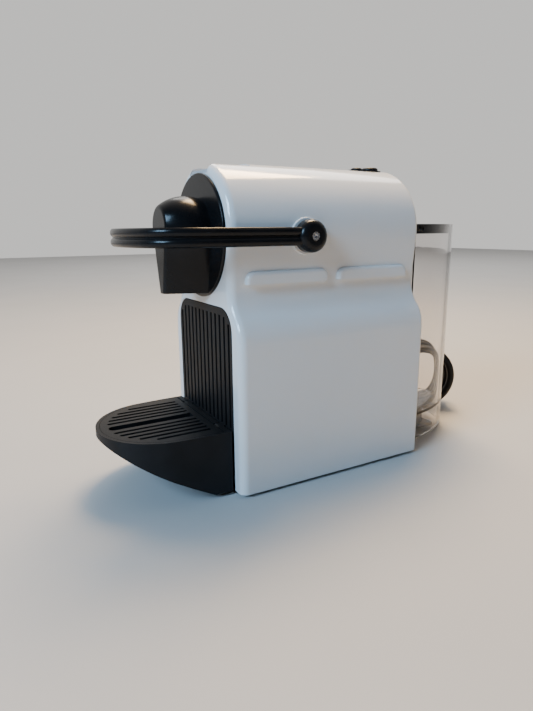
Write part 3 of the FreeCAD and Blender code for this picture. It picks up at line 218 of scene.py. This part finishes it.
# glossy white moulding: faint orange peel, slight haze, tone that drifts a little
def whiteMoulding():
    look = {
        "clean": (0.80, 0.80, 0.795), "aged": (0.765, 0.762, 0.75),
        "driftScale": 9, "contrast": 1.6, "cut": 0.3,
        "hazeScale": 38, "roughness": 0.09, "haze": 0.1,
        "coat": 0.1, "coatHaze": 0.3,
        "peelScale": 420, "relief": 0.06, "height": 0.00015,
    }
    mat = Mat("whiteMoulding", IOR=1.5, Coat_Roughness=0.05)
    drift = mat.noise(look["driftScale"])
    haze = mat.noise(look["hazeScale"], 5)
    peel = mat.noise(look["peelScale"], 2)
    tone = (drift * look["contrast"] - look["cut"]).clamped()
    mat.feed(Base_Color=mat.ramp(tone, look["clean"], look["aged"]),
             Roughness=look["roughness"] + haze * look["haze"],
             Coat_Weight=haze * look["coatHaze"] + look["coat"],
             Normal=mat.bump(peel, look["relief"], look["height"]))
    return mat.material


# every black piece: smudges and fine grain, with specks of dust
blackWear = {
    "smudgeScale": 55, "contrast": 1.4, "cut": 0.2,
    "speckScale": 2600, "speckCut": 0.71, "grainDull": 0.06,
}


def blackMoulding(name, look):
    mat = Mat(name, IOR=1.45, Specular_IOR_Level=look["shine"])
    smudge = mat.noise(blackWear["smudgeScale"], 4)
    grain = mat.noise(look["grain"], 3)
    dust = (mat.noise(blackWear["speckScale"], 1) - blackWear["speckCut"]).clamped() * look["dust"]
    tone = (smudge * blackWear["contrast"] - blackWear["cut"]).clamped() + dust
    dullness = look["roughness"] + (smudge - 0.5) * look["spread"] + grain * blackWear["grainDull"]
    mat.feed(Base_Color=mat.ramp(tone.clamped(), look["deep"], look["worn"]),
             Roughness=dullness.clamped(),
             Normal=mat.bump(grain, look["relief"], look["height"]))
    return mat.material


glossBlack = {
    "deep": (0.004, 0.004, 0.0045), "worn": (0.009, 0.009, 0.01), "shine": 0.25,
    "roughness": 0.2, "spread": 0.12, "grain": 700, "relief": 0.04, "height": 0.0001, "dust": 0.25,
}
satinBlack = {
    "deep": (0.006, 0.006, 0.007), "worn": (0.014, 0.014, 0.015), "shine": 0.2,
    "roughness": 0.36, "spread": 0.12, "grain": 1300, "relief": 0.12, "height": 0.00015, "dust": 0.4,
}
texturedBlack = {
    "deep": (0.006, 0.006, 0.0065), "worn": (0.014, 0.014, 0.015), "shine": 0.2,
    "roughness": 0.5, "spread": 0.1, "grain": 1900, "relief": 0.35, "height": 0.0002, "dust": 0.8,
}
rubberBlack = {
    "deep": (0.012, 0.012, 0.012), "worn": (0.03, 0.03, 0.03), "shine": 0.25,
    "roughness": 0.66, "spread": 0.12, "grain": 1100, "relief": 0.2, "height": 0.00015, "dust": 1.0,
}
sheathBlack = {
    "deep": (0.006, 0.006, 0.006), "worn": (0.014, 0.014, 0.014), "shine": 0.25,
    "roughness": 0.42, "spread": 0.14, "grain": 800, "relief": 0.08, "height": 0.0001, "dust": 0.6,
}


# brushed or cast metal: fine marks over a broad drift
metalMarks = {"driftScale": 60, "brushShare": 0.7, "driftShare": 0.3, "brushDull": 0.14, "height": 0.0001}


def metal(name, look):
    mat = Mat(name, Metallic=1.0)
    brush = mat.noise(look["scale"], 6, look["stretch"])
    drift = mat.noise(metalMarks["driftScale"])
    tone = brush * metalMarks["brushShare"] + drift * metalMarks["driftShare"]
    mat.feed(Base_Color=mat.ramp(tone.clamped(), look["dark"], look["bright"]),
             Roughness=look["roughness"] + brush * metalMarks["brushDull"],
             Normal=mat.bump(brush, look["relief"], metalMarks["height"]))
    return mat.material


brightSteel = {
    "dark": (0.48, 0.48, 0.49), "bright": (0.72, 0.72, 0.73),
    "roughness": 0.2, "scale": 900, "stretch": (0.1, 1, 1), "relief": 0.08,
}
castAluminium = {
    "dark": (0.42, 0.42, 0.43), "bright": (0.62, 0.62, 0.62),
    "roughness": 0.42, "scale": 500, "stretch": (1, 1, 1), "relief": 0.3,
}


# clear tank: flow lines that run up the wall, a thin film on it
def clearMoulding():
    look = {
        "clear": (0.93, 0.915, 0.905), "tint": (0.87, 0.84, 0.825),
        "flowScale": 14, "flowStretch": (1, 1, 0.35), "relief": 0.05, "height": 0.0004,
        "filmScale": 90, "roughness": 0.015, "filmDull": 0.12,
    }
    mat = Mat("clearMoulding", IOR=1.28, Transmission_Weight=1.0)
    flow = mat.noise(look["flowScale"], 2, look["flowStretch"])
    film = mat.noise(look["filmScale"], 5)
    mat.feed(Base_Color=mat.ramp(flow, look["clear"], look["tint"]),
             Roughness=look["roughness"] + (film - 0.5).clamped() * look["filmDull"],
             Normal=mat.bump(flow, look["relief"], look["height"]))
    return mat.material


# plain grey inner mouldings
def greyMoulding():
    look = {
        "light": (0.50, 0.50, 0.51), "dark": (0.42, 0.42, 0.43), "driftScale": 24,
        "grain": 1500, "roughness": 0.38, "grainDull": 0.16, "relief": 0.12, "height": 0.00012,
    }
    mat = Mat("greyMoulding", IOR=1.46)
    drift = mat.noise(look["driftScale"])
    grain = mat.noise(look["grain"], 2)
    mat.feed(Base_Color=mat.ramp(drift, look["dark"], look["light"]),
             Roughness=look["roughness"] + grain * look["grainDull"],
             Normal=mat.bump(grain, look["relief"], look["height"]))
    return mat.material


# green lacquer with paler tracks standing up a little
def circuitBoard():
    look = {
        "lacquer": (0.012, 0.075, 0.03), "track": (0.05, 0.19, 0.08), "cells": 260, "trackEdge": 9,
        "roughness": 0.3, "trackDull": 0.15, "relief": 0.3, "height": 0.0001,
    }
    mat = Mat("circuitBoard", IOR=1.5)
    track = 1 - (mat.cellEdge(look["cells"]) * look["trackEdge"]).clamped()
    mat.feed(Base_Color=mat.ramp(track, look["lacquer"], look["track"]),
             Roughness=look["roughness"] + track * look["trackDull"],
             Normal=mat.bump(track, look["relief"], look["height"]))
    return mat.material


# milky hoses and seals
def silicone():
    look = {
        "milky": (0.74, 0.73, 0.70), "yellow": (0.66, 0.64, 0.58),
        "cloudScale": 70, "roughness": 0.4, "cloudDull": 0.12,
    }
    mat = Mat("silicone", IOR=1.41, Subsurface_Weight=0.15)
    cloud = mat.noise(look["cloudScale"])
    mat.feed(Base_Color=mat.ramp(cloud, look["milky"], look["yellow"]),
             Roughness=look["roughness"] + cloud * look["cloudDull"])
    return mat.material


finishes = {
    "white_shell": whiteMoulding(),
    "black_gloss": blackMoulding("blackGloss", glossBlack),
    "black_satin": blackMoulding("blackSatin", satinBlack),
    "charcoal": blackMoulding("charcoalTextured", texturedBlack),
    "grey_plastic": greyMoulding(),
    "steel": metal("brightSteel", brightSteel),
    "cast_aluminium": metal("castAluminium", castAluminium),
    "rubber_black": blackMoulding("blackRubber", rubberBlack),
    "cord_black": blackMoulding("blackSheath", sheathBlack),
    "hose_silicone": silicone(),
    "clear_plastic": clearMoulding(),
    "board_green": circuitBoard(),
}
slots = {part["node"]: part["material_slot"] for part in frame["record"]["subparts"]}
for name, obj in frame["nodes"].items():
    obj.data.materials.clear()
    obj.data.materials.append(finishes[slots[name]])
leadCurve.materials.append(finishes["cord_black"])
print("materials:", len(finishes))


# studio
def areaLight(name, setup):
    data = bpy.data.lights.new(name, "AREA")
    data.shape = "RECTANGLE"
    data.size, data.size_y = setup["size"]
    data.energy = setup["power"]
    data.color = setup["colour"]
    obj = bpy.data.objects.new(name, data)
    bpy.context.scene.collection.objects.link(obj)
    obj.location = setup["place"]
    aim = Vector(setup["aim"]) - Vector(setup["place"])
    obj.rotation_euler = aim.to_track_quat("-Z", "Y").to_euler()


areaLight("window", {"place": (0.42, -1.35, 0.95), "aim": (0, 0, 0.12), "size": (0.6, 0.6), "power": 32,
                     "colour": (0.42, 0.69, 1.0)})
areaLight("ceiling", {"place": (-0.35, 0.35, 1.2), "aim": (0, 0, 0.15), "size": (0.45, 0.45), "power": 28,
                      "colour": (1.0, 0.67, 0.34)})
areaLight("backdrop", {"place": (-1.6, 1.2, 2.2), "aim": (-1.6, 1.2, 0), "size": (2.0, 2.0), "power": 60,
                       "colour": (1.0, 0.97, 0.94)})

# room around it: a pale wall on one side, a dim room on the other
surround = {
    "wall": (0.74, 0.73, 0.71, 1),
    "room": (0.045, 0.045, 0.055, 1),
    "towards": (0.87, -0.49, 0.0),  # the dim side
    "wallEnds": -0.6,
    "roomStarts": 0.5,
}
world = bpy.data.worlds.new("studio")
world.use_nodes = True
worldTree = world.node_tree
way = worldTree.nodes.new("ShaderNodeTexCoord")
facing = worldTree.nodes.new("ShaderNodeVectorMath")
facing.operation = "DOT_PRODUCT"
facing.inputs[1].default_value = surround["towards"]
worldTree.links.new(way.outputs["Generated"], facing.inputs[0])
spread = worldTree.nodes.new("ShaderNodeMapRange")
spread.interpolation_type = "SMOOTHSTEP"
spread.inputs["From Min"].default_value = surround["wallEnds"]
spread.inputs["From Max"].default_value = surround["roomStarts"]
worldTree.links.new(facing.outputs["Value"], spread.inputs["Value"])
tint = worldTree.nodes.new("ShaderNodeMix")
tint.data_type = "RGBA"
tint.inputs[mixSockets["low"]].default_value = surround["wall"]
tint.inputs[mixSockets["high"]].default_value = surround["room"]
worldTree.links.new(spread.outputs["Result"], tint.inputs[mixSockets["factor"]])
worldTree.links.new(tint.outputs[mixSockets["colour"]], worldTree.nodes["Background"].inputs["Color"])
bpy.context.scene.world = world

# pale floor
ground = {
    "reach": 4.0, "pale": (0.48, 0.475, 0.465), "dull": (0.44, 0.435, 0.425),
    "cloudScale": 6, "roughness": 0.55, "cloudDull": 0.1,
}
reach = ground["reach"]
corners = [(-reach, -reach, 0), (reach, -reach, 0), (reach, reach, 0), (-reach, reach, 0)]
floorMesh = bpy.data.meshes.new("floor")
floorMesh.from_pydata(corners, [], [(0, 1, 2, 3)])
floorObj = bpy.data.objects.new("floor", floorMesh)
bpy.context.scene.collection.objects.link(floorObj)
floorMat = Mat("paleFloor", IOR=1.4)
cloud = floorMat.noise(ground["cloudScale"])
floorMat.feed(Base_Color=floorMat.ramp(cloud, ground["pale"], ground["dull"]),
              Roughness=ground["roughness"] + cloud * ground["cloudDull"])
floorMesh.materials.append(floorMat.material)
print("studio set")

bpy.context.view_layer.update()
